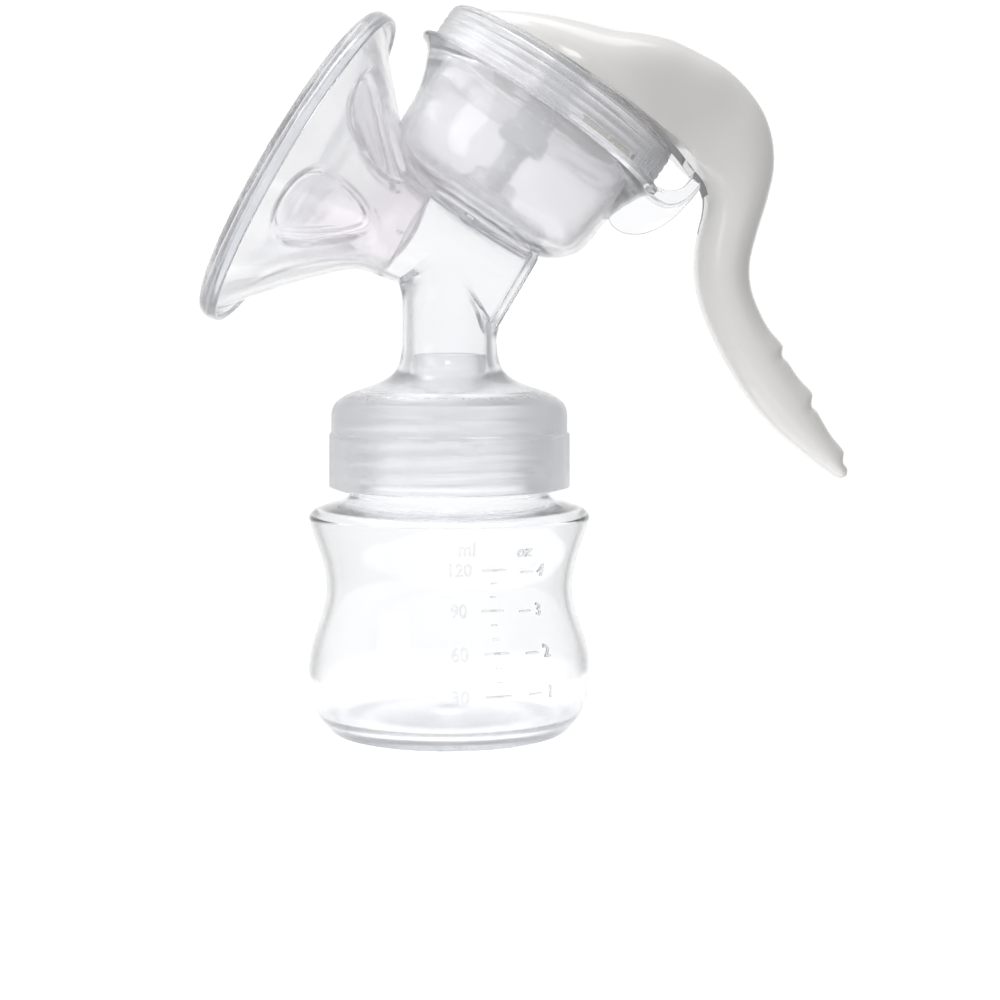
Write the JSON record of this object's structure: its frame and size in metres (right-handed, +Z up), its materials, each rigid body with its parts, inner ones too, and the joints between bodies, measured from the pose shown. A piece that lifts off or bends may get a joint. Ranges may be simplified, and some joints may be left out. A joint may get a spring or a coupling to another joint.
{
  "type": "manual breast pump",
  "caption": "Hand-worked breast pump: clear hourglass bottle, one-piece translucent body with funnel, silicone cushion, diaphragm, stem and glossy squeeze handle.",
  "frame": {"origin": "centre of the bottle's foot ring, on the surface it stands on", "axes": "+Z up the bottle's axis; +X towards the squeeze handle; -X towards the funnel's mouth; the X-Z plane is the plane of symmetry"},
  "size_m": [0.1527, 0.0832, 0.1708],
  "materials": {
    "bottle_clear": "clear glossy moulded polypropylene",
    "body_translucent": "translucent moulded polypropylene",
    "silicone": "soft satin translucent silicone",
    "ring_translucent": "translucent moulded polypropylene",
    "stem_plastic": "natural milky polypropylene",
    "handle_white": "high-gloss warm white"
  },
  "bodies": {
    "bottle": {"bottle": "bottle_clear"},
    "valve": {"duckbill_valve": "silicone"},
    "pump_head": {"threaded_collar": "body_translucent", "body_neck": "body_translucent", "suction_tube": "body_translucent", "funnel_shell": "body_translucent", "chamber_cup": "body_translucent", "pivot_bracket": "body_translucent", "massage_cushion": "silicone", "diaphragm": "silicone", "retaining_ring": "ring_translucent"},
    "handle": {"handle": "handle_white", "pivot_bar": "handle_white"},
    "stem": {"stem": "stem_plastic", "stem_yoke": "stem_plastic"}
  },
  "joints": [
    {"name": "head_lift", "type": "slide", "parent": "bottle", "child": "valve", "axis": [0, 0, 1], "range_m": [0, 0.004]},
    {"name": "head_unscrew", "type": "hinge", "parent": "valve", "child": "pump_head", "pos_m": [0, 0, 0.066], "axis": [0, 0, 1], "range_deg": [0, 360]},
    {"name": "handle_squeeze", "type": "hinge", "parent": "pump_head", "child": "handle", "pos_m": [0.06002, 0, 0.13499], "axis": [0, 1, 0], "range_deg": [0, 20], "stiffness_Nm_per_rad": 1.2},
    {"name": "stem_lift", "type": "slide", "parent": "pump_head", "child": "stem", "axis": [0.565, 0, 0.8251], "range_m": [0, 0.0132], "deforming": ["diaphragm"]}
  ],
  "couplings": [
    {"joint": "head_lift", "follows": "head_unscrew", "m_per_rad": 0.00063662},
    {"joint": "stem_lift", "follows": "handle_squeeze", "m_per_rad": 0.0375}
  ]
}
